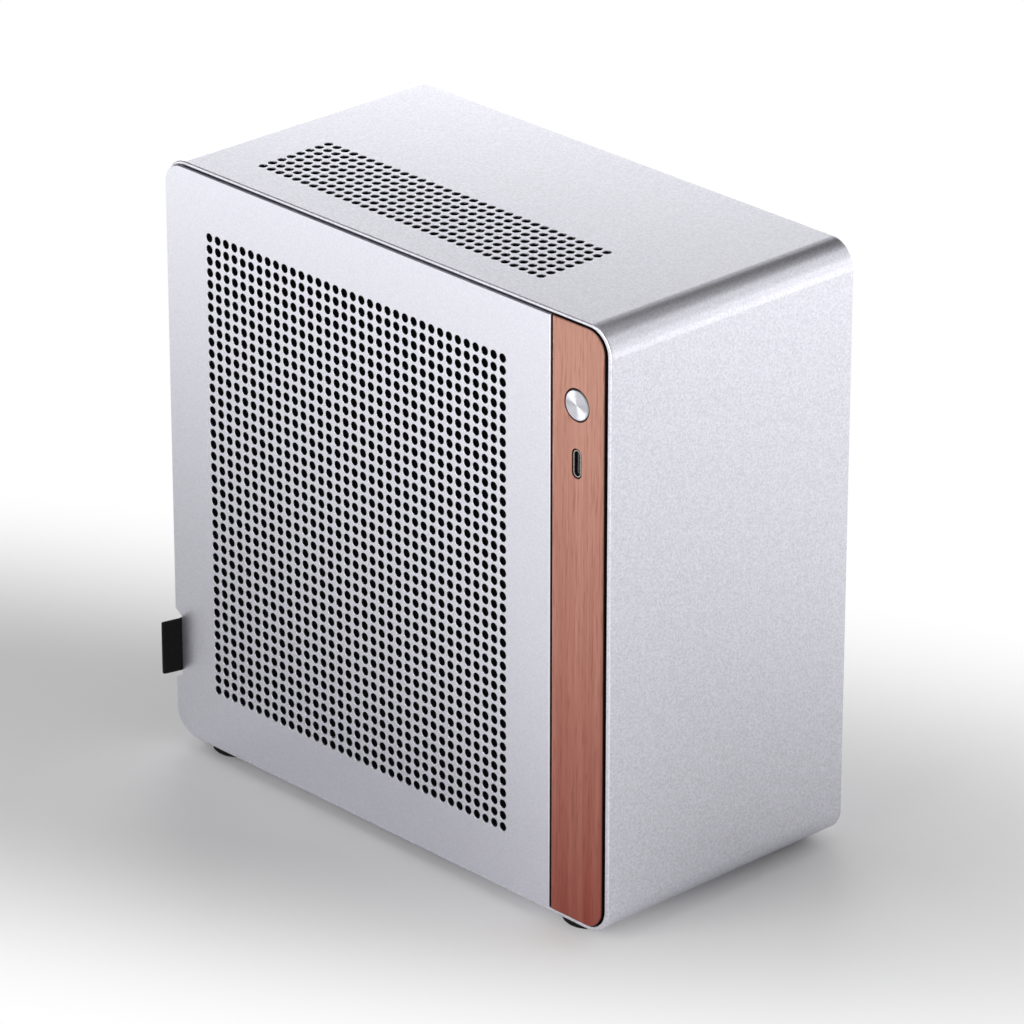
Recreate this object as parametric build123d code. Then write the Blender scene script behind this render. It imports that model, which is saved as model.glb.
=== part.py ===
from build123d import *
import os
from math import pi

# A compact desktop computer tower, one STEP file for each separate piece.
# Millimetres. X runs from left to right, -Y is the front, +Z is up, the floor is Z = 0.

# Shell, a bent aluminium wrap
SHELL_W = 104.4          # across, rim to rim
SHELL_D = 204.0          # front to rear
SHELL_H = 204.6          # without the feet
SHELL_R = 9.0            # outer bend radius
WALL = 1.2               # sheet thickness
FRONT_WALL = 1.8         # thicker at the front
RIM_R = 0.35             # rounding of the rim's edges
REAR_LIP = 10.5          # what the wrap leaves standing at the rear, top and bottom
RIM_END = 2.6            # the side rims run out thin this far before the rear face

# Round holes of every vented field
PITCH = 4.0
HOLE_D = 3.0
FIELD_MARGIN = 19.5      # least distance from a side panel's edge to its first hole row
VENT_L = 128.0           # top vent, first to last hole front to rear
VENT_W = 28.0            # top vent, first to last hole across
VENT_REAR = 28.9         # top vent, first hole to the rear face
VENT_LEFT = 15.7         # top vent, first hole to the left rim
VENT_T = 0.5             # sheet left standing in the top vent, milled out from below
BAND_W = 28.0            # each vent band of the right panel, first to last row

# Side panels, wood strip and their gaps
PANEL_T = 0.6
PANEL_RIM = 2.0          # folded edge of a panel, from its outer face inwards
PANEL_PROUD = 0.8        # panels and strip stand this far out of the rim
PANEL_GAP = 0.4          # to the shell, top and bottom
PANEL_EDGE_R = 0.35
REAR_INSET = 0.15        # panel's rear edge to the shell's rear face
STRIP_W = 22.4
STRIP_T = 4.0
STRIP_GAP = 0.8          # strip to the shell's front wall
STRIP_EDGE_R = 0.5
SEAM = 0.8               # strip to left panel
NOTCH_L = 25.0           # notch for the tag, along the edge
NOTCH_SLANT = 2.0
NOTCH_DEPTH = 3.0
NOTCH_DROP = 172.0       # notch centre below the shell's top
TAG_H = 18.4
TAG_T = 1.6
TAG_OUT = 8.5            # out of the panel's face
TAG_TAIL = 1.2           # behind the panel's rim

# Snap studs and clips
STUD_D = 3.0
HEAD_D = 4.4
HEAD_L = 2.4
CLIP_D = 7.0
CLIP_T = 3.0
FIT = 0.2                # running clearance round pins and pieces in holes
STUD_END = 8.2           # stud centre to a panel's rear edge

# Dust filters
FILTER_T = 0.4
FILTER_OFF = 0.25
FILTER_EDGE = 4.0        # filter beyond the outermost hole centres
FILTER_RIM = 1.2

# Feet
FOOT_D = 17.0
FOOT_H = 3.0
FOOT_IN_Y = 18.5         # foot centre to the front and rear faces
FOOT_IN_X = 9.9          # foot centre to the rim
FOOT_SCREW_D = 4.0
FOOT_HEAD_D = 8.0

# Chassis
SHEET = 1.0              # steel sheet of frame, tray and rear panel
SLIP = 0.3               # chassis inside the shell
RING_B = 9.3             # frame ring's width inside the wrap
POST_IN = 10.0           # frame opening behind the left panel's front edge
BAR_W = 12.0
BAR_H = 7.5
TRAY_IN = 4.2            # tray's outer face inside the right panel's rim
REAR_CLEAR = 1.6         # rear panel to the side panels' rims
REAR_UP = 6.6            # rear panel's lower and upper edge inside the shell's bend

# Front controls
BUTTON_IN = 14.2         # centre line behind the front face
BUTTON_DROP = 27.8       # button centre below the top
BUTTON_D = 10.0
BUTTON_GAP = 0.5         # cap to the wood all round, the dark ring
BUTTON_RING = 0.7        # wall of the cap's guide sleeve
BUTTON_TRAVEL = 1.0
CAP_PROUD = 0.15
HOUSING_D = 15.0
PORT_DROP = 47.1         # port centre below the top
PORT_L = 8.94            # USB-C receptacle, outside
PORT_W = 3.16
PORT_WALL = 0.3
PORT_DEEP = 7.3
PORT_SINK = 0.25
PORT_GAP = 0.55          # receptacle to the wood all round
TONGUE_L = 6.69
TONGUE_T = 0.7

# Mainboard, mini ITX
BOARD = 170.0
BOARD_T = 1.6
BOARD_TOP = 11.6         # board's top edge below the shell's top
BOARD_REAR = 3.6         # board's rear edge to the shell's rear face
STANDOFF = 6.35
HOLES_Y = 157.48         # mounting holes, front to rear
HOLES_Z = 154.94
HOLE_REAR = 6.35         # first hole to the rear edge
HOLE_TOP = 10.16
CPU_DOWN = 55.0          # socket centre below the board's top edge
CPU_FWD = 80.0           # socket centre to the rear edge
IO_L = 158.75            # rear port opening
IO_H = 44.45
SLOT_L = 142.0           # memory slot
SLOT_W = 6.5
SLOT_H = 8.5
STICK_L = 133.35
STICK_H = 31.25
STICK_T = 1.2

# Cooler
BASE_S = 44.0
BASE_H = 8.0
FIN_S = 88.0
FIN_H = 13.0
FIN_T = 0.8
FIN_PITCH = 2.9
FAN_S = 92.0
FAN_T = 15.0
FAN_HOLES = 82.5
BOLT_SQUARE = 75.0

# Power supply, flex size
PSU_W = 40.5
PSU_H = 81.5
PSU_L = 150.0
PSU_WALL = 0.6
PSU_UP = 9.6             # above the shell's bottom inner face
PSU_OFF = 0.4            # beside the frame ring
PSU_FAN = 40.0
PSU_FAN_T = 20.0
PSU_FAN_HOLES = 32.0

# Derived places
XS = SHELL_W / 2
XP = XS + PANEL_PROUD                 # outer face of panels and strip
XI = XP - PANEL_T                     # inner face of panels
XR = XP - PANEL_RIM                   # inner edge of their folded rim
YF = -SHELL_D / 2
YR = SHELL_D / 2
ZB = FOOT_H
ZT = FOOT_H + SHELL_H
FRONT_IN = YF + FRONT_WALL
REAR_IN = YR - WALL
FLOOR_IN = ZB + WALL
ROOF_IN = ZT - WALL
RING_X = -XP + STRIP_T                # frame ring's outer face, the strip lies on it
TRAY_X = XR - TRAY_IN - SHEET         # tray's inner face
PLATE_Y = REAR_IN - FIT - SHEET       # rear panel's inner face
STRIP_F = FRONT_IN + STRIP_GAP
STRIP_R = STRIP_F + STRIP_W
PANEL_F = STRIP_R + SEAM
PANEL_R = YR - REAR_INSET
PANEL_B = FLOOR_IN + PANEL_GAP
PANEL_TOP = ROOF_IN - PANEL_GAP
BUTTON_Y = YF + BUTTON_IN
BUTTON_Z = ZT - BUTTON_DROP
PORT_Z = ZT - PORT_DROP
NOTCH_Z = ZT - NOTCH_DROP
BOARD_ZT = ZT - BOARD_TOP
BOARD_ZB = BOARD_ZT - BOARD
BOARD_YR = YR - BOARD_REAR
BOARD_YF = BOARD_YR - BOARD
XB = TRAY_X - STANDOFF - BOARD_T      # board's face with the parts
CPU_Y = BOARD_YR - CPU_FWD
CPU_Z = BOARD_ZT - CPU_DOWN
HOLE_YS = (BOARD_YR - HOLE_REAR, BOARD_YR - HOLE_REAR - HOLES_Y)
HOLE_ZS = (BOARD_ZT - HOLE_TOP, BOARD_ZT - HOLE_TOP - HOLES_Z)
FOOT_YS = (YF + FOOT_IN_Y, YR - FOOT_IN_Y)
FOOT_XS = (-XS + FOOT_IN_X, XS - FOOT_IN_X)
PSU_X0 = RING_X + SHEET + PSU_OFF
PSU_X1 = PSU_X0 + PSU_W
PSU_Z0 = FLOOR_IN + PSU_UP
PSU_Z1 = PSU_Z0 + PSU_H
PSU_Y1 = PLATE_Y
PSU_Y0 = PLATE_Y - PSU_L
PSU_XC = (PSU_X0 + PSU_X1) / 2

NODES = {}


def node(name, *pieces):
    """Keep one named piece of the object; several solids share one file."""
    solids = [solid for piece in pieces for solid in piece.solids()]
    NODES[name] = solids[0] if len(solids) == 1 else Compound(solids)


def box(x0, x1, y0, y1, z0, z1):
    """A block between two corners."""
    return Pos((x0 + x1) / 2, (y0 + y1) / 2, (z0 + z1) / 2) * Box(x1 - x0, y1 - y0, z1 - z0)


def rod_x(x0, x1, y, z, d):
    """A round rod along X."""
    return extrude(Plane((x0, y, z), x_dir=(0, 1, 0), z_dir=(1, 0, 0)) * Circle(d / 2), x1 - x0)


def rod_y(y0, y1, x, z, d):
    """A round rod along Y."""
    return extrude(Plane((x, y0, z), x_dir=(1, 0, 0), z_dir=(0, 1, 0)) * Circle(d / 2), y1 - y0)


def rod_z(z0, z1, x, y, d):
    """A round rod along Z."""
    return extrude(Plane((x, y, z0)) * Circle(d / 2), z1 - z0)


def yz_plate(face, x0, x1):
    """A drawing in (Y, Z) made into a plate between two X values."""
    return extrude(Plane.YZ.offset(x0) * face, x1 - x0)


def xz_plate(face, y0, y1):
    """A drawing in (X, Z) made into a plate between two Y values."""
    return extrude(Plane.XZ.offset(-y1) * face, y1 - y0)


def rect(a0, a1, b0, b1):
    """A drawn rectangle between two corners."""
    return Pos((a0 + a1) / 2, (b0 + b1) / 2) * Rectangle(a1 - a0, b1 - b0)


def round_rect(a0, a1, b0, b1, r):
    """A drawn rectangle with four rounded corners."""
    return Pos((a0 + a1) / 2, (b0 + b1) / 2) * RectangleRounded(a1 - a0, b1 - b0, r)


def upright_slot(a, b, length, width):
    """A drawn slot with round ends, long side upright."""
    return Pos(a, b) * Rot(0, 0, 90) * SlotOverall(length, width)


def holed_face(face, holes):
    """A face with round holes (a, b, diameter), without any boolean."""
    rings = [Wire.make_circle(d / 2, Plane((a, b, 0))) for a, b, d in holes]
    return Face(face.face().outer_wire(), rings)


def field(a0, a1, b0, b1):
    """Hole places of a square lattice centred in a box of first-to-last size."""
    na = int((a1 - a0) / PITCH + 0.001) + 1
    nb = int((b1 - b0) / PITCH + 0.001) + 1
    am = (a0 + a1 - (na - 1) * PITCH) / 2
    bm = (b0 + b1 - (nb - 1) * PITCH) / 2
    return [(am + i * PITCH, bm + j * PITCH, HOLE_D) for i in range(na) for j in range(nb)]


def span(holes):
    """The box round a list of hole centres."""
    a = [h[0] for h in holes]
    b = [h[1] for h in holes]
    return min(a), max(a), min(b), max(b)


def vented(plate, holes, plane, thick, left):
    """Swap the middle of a plain plate for a core with holes, of the thickness left."""
    a0, a1, b0, b1 = span(holes)
    m = PITCH / 2 + HOLE_D / 4
    window = rect(a0 - m, a1 + m, b0 - m, b1 + m)
    return plate - extrude(plane * window, -thick) + extrude(plane * holed_face(window, holes), -left)


def filter_sheet(holes, plane):
    """A fine mesh sheet behind a field of holes, its raised rim lies on the panel."""
    a0, a1, b0, b1 = span(holes)
    e = FILTER_EDGE
    whole = rect(a0 - e, a1 + e, b0 - e, b1 + e)
    e = FILTER_EDGE - FILTER_RIM
    inner = rect(a0 - e, a1 + e, b0 - e, b1 + e)
    rim = extrude(plane * (whole - inner), FILTER_OFF)
    return rim + extrude(plane.offset(FILTER_OFF) * whole, FILTER_T)


def fan_frame(side, thick, bore, hub, spacing, hole_d, plane):
    """A square fan frame with four struts and a motor plate at its far side."""
    corner = spacing / 2
    flat = RectangleRounded(side, side, side * 0.06) - Circle(bore / 2)
    flat -= [Pos(i * corner, j * corner) * Circle(hole_d / 2) for i in (-1, 1) for j in (-1, 1)]
    strut = [Rot(0, 0, 45 + 90 * k) * rect(0, bore / 2 + 0.8, -1.3, 1.3) for k in range(4)]
    spider = (Circle(hub / 2) + strut) & Circle(bore / 2 + 0.6)
    return extrude(plane * flat, thick) + extrude(plane * spider, 2.0)


def fan_rotor(hub, tip, thick, blades, twist, plane):
    """A hub with tilted blades, trimmed to a ring; the axis is the plane's normal."""
    reach = tip / 2 - hub / 2 + 0.6
    chord = pi * (hub + tip) / 2 / blades * 0.86
    blade = Pos(hub / 2 - 0.6 + reach / 2 + 2, 0, 0) * Rot(twist, 0, 0) * Box(reach + 4, chord, 1.4)
    blade &= Cylinder(tip / 2, thick)
    body = Cylinder(hub / 2, thick) - Pos(0, 0, thick / 2 - 0.4) * Cylinder(hub / 2 - 3, 0.8)
    body += [Rot(0, 0, 360 / blades * k) * blade for k in range(blades)]
    return plane * body


def screw(plane, head_d, head_h, d, length):
    """A pan screw; its head stands on the plane, the shank goes the other way."""
    head = Circle(head_d / 2)
    return extrude(plane * head, head_h) + extrude(plane * Circle(d / 2), -length)


def wire_run(points, d, bend):
    """A round cable along straight runs with rounded bends."""
    line = FilletPolyline(*points, radius=bend)
    start = Vector(*points[1]) - Vector(*points[0])
    return sweep(Plane(points[0], z_dir=start) * Circle(d / 2), path=line)


# Shell: a rounded tube seen from the side, opened at the rear, with the top vent
outer = round_rect(YF, YR, ZB, ZT, SHELL_R)
inner = round_rect(FRONT_IN, REAR_IN, FLOOR_IN, ROOF_IN, SHELL_R - WALL)
shell = yz_plate(outer - inner, -XS, XS)
shell = fillet(shell.edges().filter_by_position(Axis.X, -XS - 0.01, -XS + 0.01), RIM_R)
shell = fillet(shell.edges().filter_by_position(Axis.X, XS - 0.01, XS + 0.01), RIM_R)
shell -= box(-XP, XP, PLATE_Y, YR + 1, ZB + REAR_LIP, ZT - REAR_LIP)
panel_r = SHELL_R - WALL - PANEL_GAP
clear = PANEL_GAP * 0.8
bay = round_rect(STRIP_F, PANEL_R + clear, PANEL_B - clear, PANEL_TOP + clear, panel_r + clear)
bay += rect(YR - RIM_END, YR + 1, ZB - 1, ZT + 1)
shell -= yz_plate(bay, -XP, -XR + FIT)
shell -= yz_plate(bay, XR - FIT, XP)
shell -= [rod_z(ZB - 1, FLOOR_IN + 1, x, y, FOOT_SCREW_D + 2 * FIT) for x in FOOT_XS for y in FOOT_YS]
vent = field(-XS + VENT_LEFT, -XS + VENT_LEFT + VENT_W, YR - VENT_REAR - VENT_L, YR - VENT_REAR)
shell = vented(shell, vent, Plane.XY.offset(ZT), WALL, VENT_T)
node("shell", shell)
roof = Plane((0, 0, ROOF_IN), x_dir=(1, 0, 0), z_dir=(0, 0, -1))
node("filter_top", filter_sheet([(x, -y, d) for x, y, d in vent], roof))

# Side panels: flat plates with a notch for the tag and four snap studs


def notch_shape(grow):
    """The tag's notch in (Y, Z), larger all round by the given amount."""
    low, high = NOTCH_Z - NOTCH_L / 2 - grow, NOTCH_Z + NOTCH_L / 2 + grow
    out = NOTCH_SLANT / NOTCH_DEPTH
    deep = PANEL_R - NOTCH_DEPTH - grow
    return make_face(Polyline((PANEL_R + 1, low - out), (deep, low + NOTCH_SLANT),
                              (deep, high - NOTCH_SLANT), (PANEL_R + 1, high + out), close=True))


notch = notch_shape(0)
notch_wall = notch_shape(PANEL_T)


def side_panel(front, x_rim, x_out, square_front):
    """A shallow side tray from a front edge to the rear, its outer edges rounded."""
    flat = round_rect(front, PANEL_R, PANEL_B, PANEL_TOP, panel_r)
    if square_front:
        flat += rect(front, front + panel_r + 1, PANEL_B, PANEL_TOP)
    low, high = sorted((x_rim, x_out))
    plate = yz_plate(flat - notch, low, high)
    plate = fillet(plate.faces().sort_by(Axis.X)[-1 if x_out > 0 else 0].outer_wire().edges(), PANEL_EDGE_R)
    t = PANEL_T
    hollow = round_rect(front + t, PANEL_R - t, PANEL_B + t, PANEL_TOP - t, panel_r - t)
    if square_front:
        hollow += rect(front + t, front + panel_r + 1, PANEL_B + t, PANEL_TOP - t)
    low, high = sorted((x_rim, x_out - t if x_out > 0 else x_out + t))
    return plate - yz_plate(hollow - notch_wall, low, high)


left_holes = field(PANEL_F + FIELD_MARGIN, PANEL_R - FIELD_MARGIN,
                   PANEL_B + FIELD_MARGIN, PANEL_TOP - FIELD_MARGIN)
left_face = side_panel(PANEL_F, -XR, -XP, True)
node("left_panel", vented(left_face, left_holes, Plane.YZ.offset(-XI), PANEL_T, PANEL_T))

a0, a1, b0, b1 = span(left_holes)
low_band = field(a0, a1, b0, b0 + BAND_W)
high_band = field(a0, a1, b1 - BAND_W, b1)
right_face = side_panel(STRIP_F, XR, XP, False)
for band in (low_band, high_band):
    right_face = vented(right_face, band, Plane.YZ.offset(XP), PANEL_T, PANEL_T)
node("right_panel", right_face)

left_plane = Plane((-XI, 0, 0), x_dir=(0, 1, 0), z_dir=(1, 0, 0))
right_plane = Plane((XI, 0, 0), x_dir=(0, -1, 0), z_dir=(-1, 0, 0))
node("filter_left", filter_sheet(left_holes, left_plane))
node("filter_right", *[filter_sheet([(-a, b, d) for a, b, d in band], right_plane)
                       for band in (low_band, high_band)])


def tag(side):
    """A folded ribbon in the notch: it stands out of the panel and turns in behind it."""
    y1 = PANEL_R - NOTCH_DEPTH + TAG_T
    y0 = PANEL_R - NOTCH_DEPTH
    out = sorted((side * (XP + TAG_OUT), side * (XR - TAG_TAIL)))
    back = sorted((side * XR, side * (XR - TAG_TAIL)))
    z0, z1 = NOTCH_Z - TAG_H / 2, NOTCH_Z + TAG_H / 2
    return box(*out, y0, y1, z0, z1) + box(*back, y0 - 5, y1, z0, z1)


node("left_tag", tag(-1))
node("right_tag", tag(1))

STUD_ZS = (FLOOR_IN + RING_B / 2, ROOF_IN - RING_B / 2)
LEFT_STUDS = [(y, z) for y in (PANEL_F + POST_IN / 2, PANEL_R - STUD_END) for z in STUD_ZS]
RIGHT_STUDS = [(y, z) for y in (FRONT_IN + RING_B, PANEL_R - STUD_END) for z in STUD_ZS]


def stud(side, length, y, z):
    """A snap stud standing on a panel's inner face, with a thicker bevelled head."""
    neck = length - HEAD_L
    pin = extrude(Circle(STUD_D / 2), neck)
    head = Pos(0, 0, neck + HEAD_L / 2) * Cylinder(HEAD_D / 2, HEAD_L)
    head = chamfer(head.edges().filter_by(GeomType.CIRCLE), HEAD_L * 0.25)
    return Plane((side * XI, y, z), x_dir=(0, 1, 0), z_dir=(-side, 0, 0)) * (pin + head)


def clip(side, x, y, z):
    """A plastic ring clip lying on the sheet at x, bored for the ball."""
    x0, x1 = sorted((x, x + side * CLIP_T))
    flat = Pos(y, z) * (Circle(CLIP_D / 2) - Circle(HEAD_D / 2 + FIT))
    return yz_plate(flat, x0, x1)


ring_in = RING_X + SHEET
tray_out = TRAY_X + SHEET
node("left_studs", *[stud(-1, XI + ring_in + CLIP_T / 2, y, z) for y, z in LEFT_STUDS])
node("right_studs", *[stud(1, XI - tray_out - CLIP_T / 2, y, z) for y, z in RIGHT_STUDS])
node("snap_clips", *[clip(1, ring_in, y, z) for y, z in LEFT_STUDS],
     *[clip(1, tray_out, y, z) for y, z in RIGHT_STUDS])

# Wood strip beside the left panel
strip_r = SHELL_R - WALL - STRIP_GAP
strip = round_rect(STRIP_F, STRIP_R, PANEL_B, PANEL_TOP, strip_r)
strip += rect(STRIP_F + strip_r + 1, STRIP_R, PANEL_B, PANEL_TOP)
wood = yz_plate(strip, -XP, RING_X)
wood = fillet(wood.faces().sort_by(Axis.X)[0].outer_wire().edges(), STRIP_EDGE_R)
SLEEVE_D = BUTTON_D + 2 * FIT + 2 * BUTTON_RING
wood -= rod_x(-XP - 1, RING_X + 1, BUTTON_Y, BUTTON_Z, BUTTON_D + 2 * BUTTON_GAP)
port_hole = upright_slot(BUTTON_Y, PORT_Z, PORT_L + 2 * PORT_GAP, PORT_W + 2 * PORT_GAP)
wood -= yz_plate(port_hole, -XP - 1, RING_X + 1)
node("wood_strip", wood)

# Chassis: a frame ring on the left, cross bars, the tray on the right, the rear panel
ring_r = SHELL_R - WALL - SLIP
hull = round_rect(FRONT_IN + SLIP, PLATE_Y, FLOOR_IN + SLIP, ROOF_IN - SLIP, ring_r)
hull += rect(PLATE_Y - ring_r - 1, PLATE_Y, FLOOR_IN + ring_r, ROOF_IN - ring_r)
opening = rect(PANEL_F + POST_IN, PLATE_Y - RING_B, FLOOR_IN + RING_B + SLIP, ROOF_IN - RING_B - SLIP)
ring = hull - opening
ring -= [Pos(y, z) * Circle(HEAD_D / 2 + FIT) for y, z in LEFT_STUDS]
ring -= Pos(BUTTON_Y, BUTTON_Z) * Circle(SLEEVE_D / 2 + FIT)
ring -= upright_slot(BUTTON_Y, PORT_Z, PORT_L + 2 * FIT, PORT_W + 2 * FIT)
frame = yz_plate(ring, RING_X, ring_in)
bar_zs = ((FLOOR_IN, FLOOR_IN + BAR_H), (ROOF_IN - BAR_H, ROOF_IN))
for y in FOOT_YS:
    for z0, z1 in bar_zs:
        frame += box(ring_in, TRAY_X, y - BAR_W / 2, y + BAR_W / 2, z0, z1)
EAR_Y = BUTTON_Y + PORT_W / 2 + SHEET
frame += box(ring_in, ring_in + 16, EAR_Y, EAR_Y + SHEET, PORT_Z - 8, PORT_Z + 8)
frame -= [rod_z(FLOOR_IN - 1, FLOOR_IN + BAR_H + 1, x, y, FOOT_SCREW_D + FIT)
          for x in FOOT_XS for y in FOOT_YS]
node("chassis_frame", frame)

tray = hull - [Pos(y, z) * Circle(HEAD_D / 2 + FIT) for y, z in RIGHT_STUDS]
tray -= [Pos(y, z) * Circle(1.7) for y in HOLE_YS for z in HOLE_ZS]
tray -= Pos(CPU_Y, CPU_Z) * RectangleRounded(BOLT_SQUARE + 20, BOLT_SQUARE + 20, 5)
node("board_tray", yz_plate(tray, TRAY_X, tray_out))

IO_X1 = XB + 2.2
IO_X0 = IO_X1 - IO_H
IO_ZC = (BOARD_ZT + BOARD_ZB) / 2
PSU_FAN_Z = PSU_Z1 - PSU_WALL - PSU_FAN / 2 - 0.5
INLET_W, INLET_H = 27.0, 19.8
ROCKER_W, ROCKER_H = 19.0, 12.8
INLET_Z = PSU_Z0 + 3 + INLET_H / 2
ROCKER_Z = INLET_Z + INLET_H / 2 + 3.2 + ROCKER_H / 2
inlet_cut = Pos(PSU_XC, INLET_Z) * Rectangle(INLET_W + 2 * FIT, INLET_H + 2 * FIT)
rocker_cut = Pos(PSU_XC, ROCKER_Z) * Rectangle(ROCKER_W + 2 * FIT, ROCKER_H + 2 * FIT)
fan_cut = Pos(PSU_XC, PSU_FAN_Z) * Circle(PSU_FAN / 2 - 1)
SCREW_E = PSU_FAN_HOLES / 2
PSU_SCREWS = [(PSU_XC + i * SCREW_E, PSU_FAN_Z + j * SCREW_E) for i in (-1, 1) for j in (-1, 1)]
screw_cuts = [Pos(x, z) * Circle(1.8) for x, z in PSU_SCREWS]
rear = round_rect(-XR + REAR_CLEAR, XR - REAR_CLEAR, FLOOR_IN + REAR_UP, ROOF_IN - REAR_UP, 2)
rear -= rect(IO_X0, IO_X1, IO_ZC - IO_L / 2, IO_ZC + IO_L / 2)
rear = rear - inlet_cut - rocker_cut - fan_cut - screw_cuts
rear_plate = xz_plate(rear, PLATE_Y, PLATE_Y + SHEET)
exhaust = field(PSU_X0 + 4, PSU_X1 - 4, PSU_Z1 + 8, ZT - REAR_LIP - 6)
node("rear_panel", vented(rear_plate, exhaust, Plane.XZ.offset(-PLATE_Y), SHEET, SHEET))

# Feet and their screws
foot_flat = Circle(FOOT_D / 2) - Circle(FOOT_SCREW_D / 2 + FIT)
foot = extrude(foot_flat, FOOT_H)
foot = chamfer(foot.edges().group_by(Axis.Z)[0].sort_by(SortBy.LENGTH)[-1:], 0.6)
foot -= rod_z(-1, FOOT_H * 0.55, 0, 0, FOOT_HEAD_D + 2 * FIT)
node("feet", *[Pos(x, y, 0) * foot for x in FOOT_XS for y in FOOT_YS])
node("foot_screws", *[screw(Plane((x, y, FOOT_H * 0.55), z_dir=(0, 0, -1)), FOOT_HEAD_D, 1.2,
                            FOOT_SCREW_D, FOOT_H * 0.45 + WALL + BAR_H - 1)
                      for x in FOOT_XS for y in FOOT_YS])

# Power button: housing with its guide sleeve, cap, switch
FLANGE_T = 1.0
flange_in = ring_in + FLANGE_T
CUP_D = HOUSING_D - 2.0
CUP_L = 9.0
bore = Pos(BUTTON_Y, BUTTON_Z) * Circle(BUTTON_D / 2 + FIT)
housing = yz_plate(Pos(BUTTON_Y, BUTTON_Z) * Circle(SLEEVE_D / 2) - bore, RING_X + FIT, ring_in)
housing += yz_plate(Pos(BUTTON_Y, BUTTON_Z) * Circle(HOUSING_D / 2) - bore, ring_in, flange_in)
cup = Circle(HOUSING_D / 2) - Circle(CUP_D / 2)
housing += yz_plate(Pos(BUTTON_Y, BUTTON_Z) * cup, flange_in, flange_in + CUP_L)
node("button_housing", housing)
COLLAR_D = CUP_D - 4 * FIT
COLLAR_T = 1.2
collar = flange_in + FIT
cap = rod_x(-XP - CAP_PROUD, collar, BUTTON_Y, BUTTON_Z, BUTTON_D)
cap = chamfer(cap.faces().sort_by(Axis.X)[0].edges(), 0.3)
cap += rod_x(collar, collar + COLLAR_T, BUTTON_Y, BUTTON_Z, COLLAR_D)
STEM_END = collar + COLLAR_T + 1.2
cap += rod_x(collar + COLLAR_T, STEM_END, BUTTON_Y, BUTTON_Z, 4.0)
node("button_cap", cap)
SWITCH_S = 6.0
PLUNGER_D = 3.4
PLUNGER_OUT = 1.6
SWITCH_BOARD_X = flange_in + CUP_L
switch_x0 = STEM_END + PLUNGER_OUT
half = SWITCH_S / 2
body = box(switch_x0, SWITCH_BOARD_X, BUTTON_Y - half, BUTTON_Y + half, BUTTON_Z - half, BUTTON_Z + half)
body -= rod_x(switch_x0 - 1, switch_x0 + 2.2, BUTTON_Y, BUTTON_Z, PLUNGER_D + 2 * FIT)
node("switch_body", body)
plunger_end = switch_x0 + 2.2 - BUTTON_TRAVEL - FIT
node("switch_plunger", rod_x(STEM_END, plunger_end, BUTTON_Y, BUTTON_Z, PLUNGER_D))
disc = Pos(BUTTON_Y, BUTTON_Z) * (Circle(HOUSING_D / 2) + rect(-5, 5, -HOUSING_D / 2 - 3, 0))
switch_board = yz_plate(disc, SWITCH_BOARD_X, SWITCH_BOARD_X + 1.2)

# USB-C receptacle
port_x = -XP + PORT_SINK
tube = upright_slot(BUTTON_Y, PORT_Z, PORT_L, PORT_W)
tube -= upright_slot(BUTTON_Y, PORT_Z, PORT_L - 2 * PORT_WALL, PORT_W - 2 * PORT_WALL)
node("port_shell", yz_plate(tube, port_x, port_x + PORT_DEEP))
tongue = box(port_x + 0.6, port_x + PORT_DEEP - 1.6, BUTTON_Y - TONGUE_T / 2, BUTTON_Y + TONGUE_T / 2,
             PORT_Z - TONGUE_L / 2, PORT_Z + TONGUE_L / 2)
plug = upright_slot(BUTTON_Y, PORT_Z, PORT_L - 2 * PORT_WALL, PORT_W - 2 * PORT_WALL)
node("port_tongue", tongue + yz_plate(plug, port_x + PORT_DEEP - 1.6, port_x + PORT_DEEP))
port_board = box(ring_in + 0.4, ring_in + 18, EAR_Y - SHEET, EAR_Y, PORT_Z - 10, PORT_Z + 10)
node("front_boards", switch_board, port_board)

# Mainboard with its holes and what stands on it
board = rect(BOARD_YF, BOARD_YR, BOARD_ZB, BOARD_ZT)
board -= [Pos(y, z) * Circle(2.0) for y in HOLE_YS for z in HOLE_ZS]
bolts = [(CPU_Y + i * BOLT_SQUARE / 2, CPU_Z + j * BOLT_SQUARE / 2) for i in (-1, 1) for j in (-1, 1)]
board -= [Pos(y, z) * Circle(2.0) for y, z in bolts]
node("mainboard", yz_plate(board, XB, XB + BOARD_T))
hexagon = RegularPolygon(2.9, 6) - Circle(1.6)
node("standoffs", *[yz_plate(Pos(y, z) * hexagon, XB + BOARD_T, TRAY_X) for y in HOLE_YS for z in HOLE_ZS])
node("board_screws", *[screw(Plane((XB, y, z), z_dir=(-1, 0, 0)), 5.6, 2.0, 2.9, BOARD_T + 4.5)
                       for y in HOLE_YS for z in HOLE_ZS])


def on_board(y, z, wide, tall, high):
    """A block standing on the board, centred at (y, z)."""
    return box(XB - high, XB, y - wide / 2, y + wide / 2, z - tall / 2, z + tall / 2)


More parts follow.
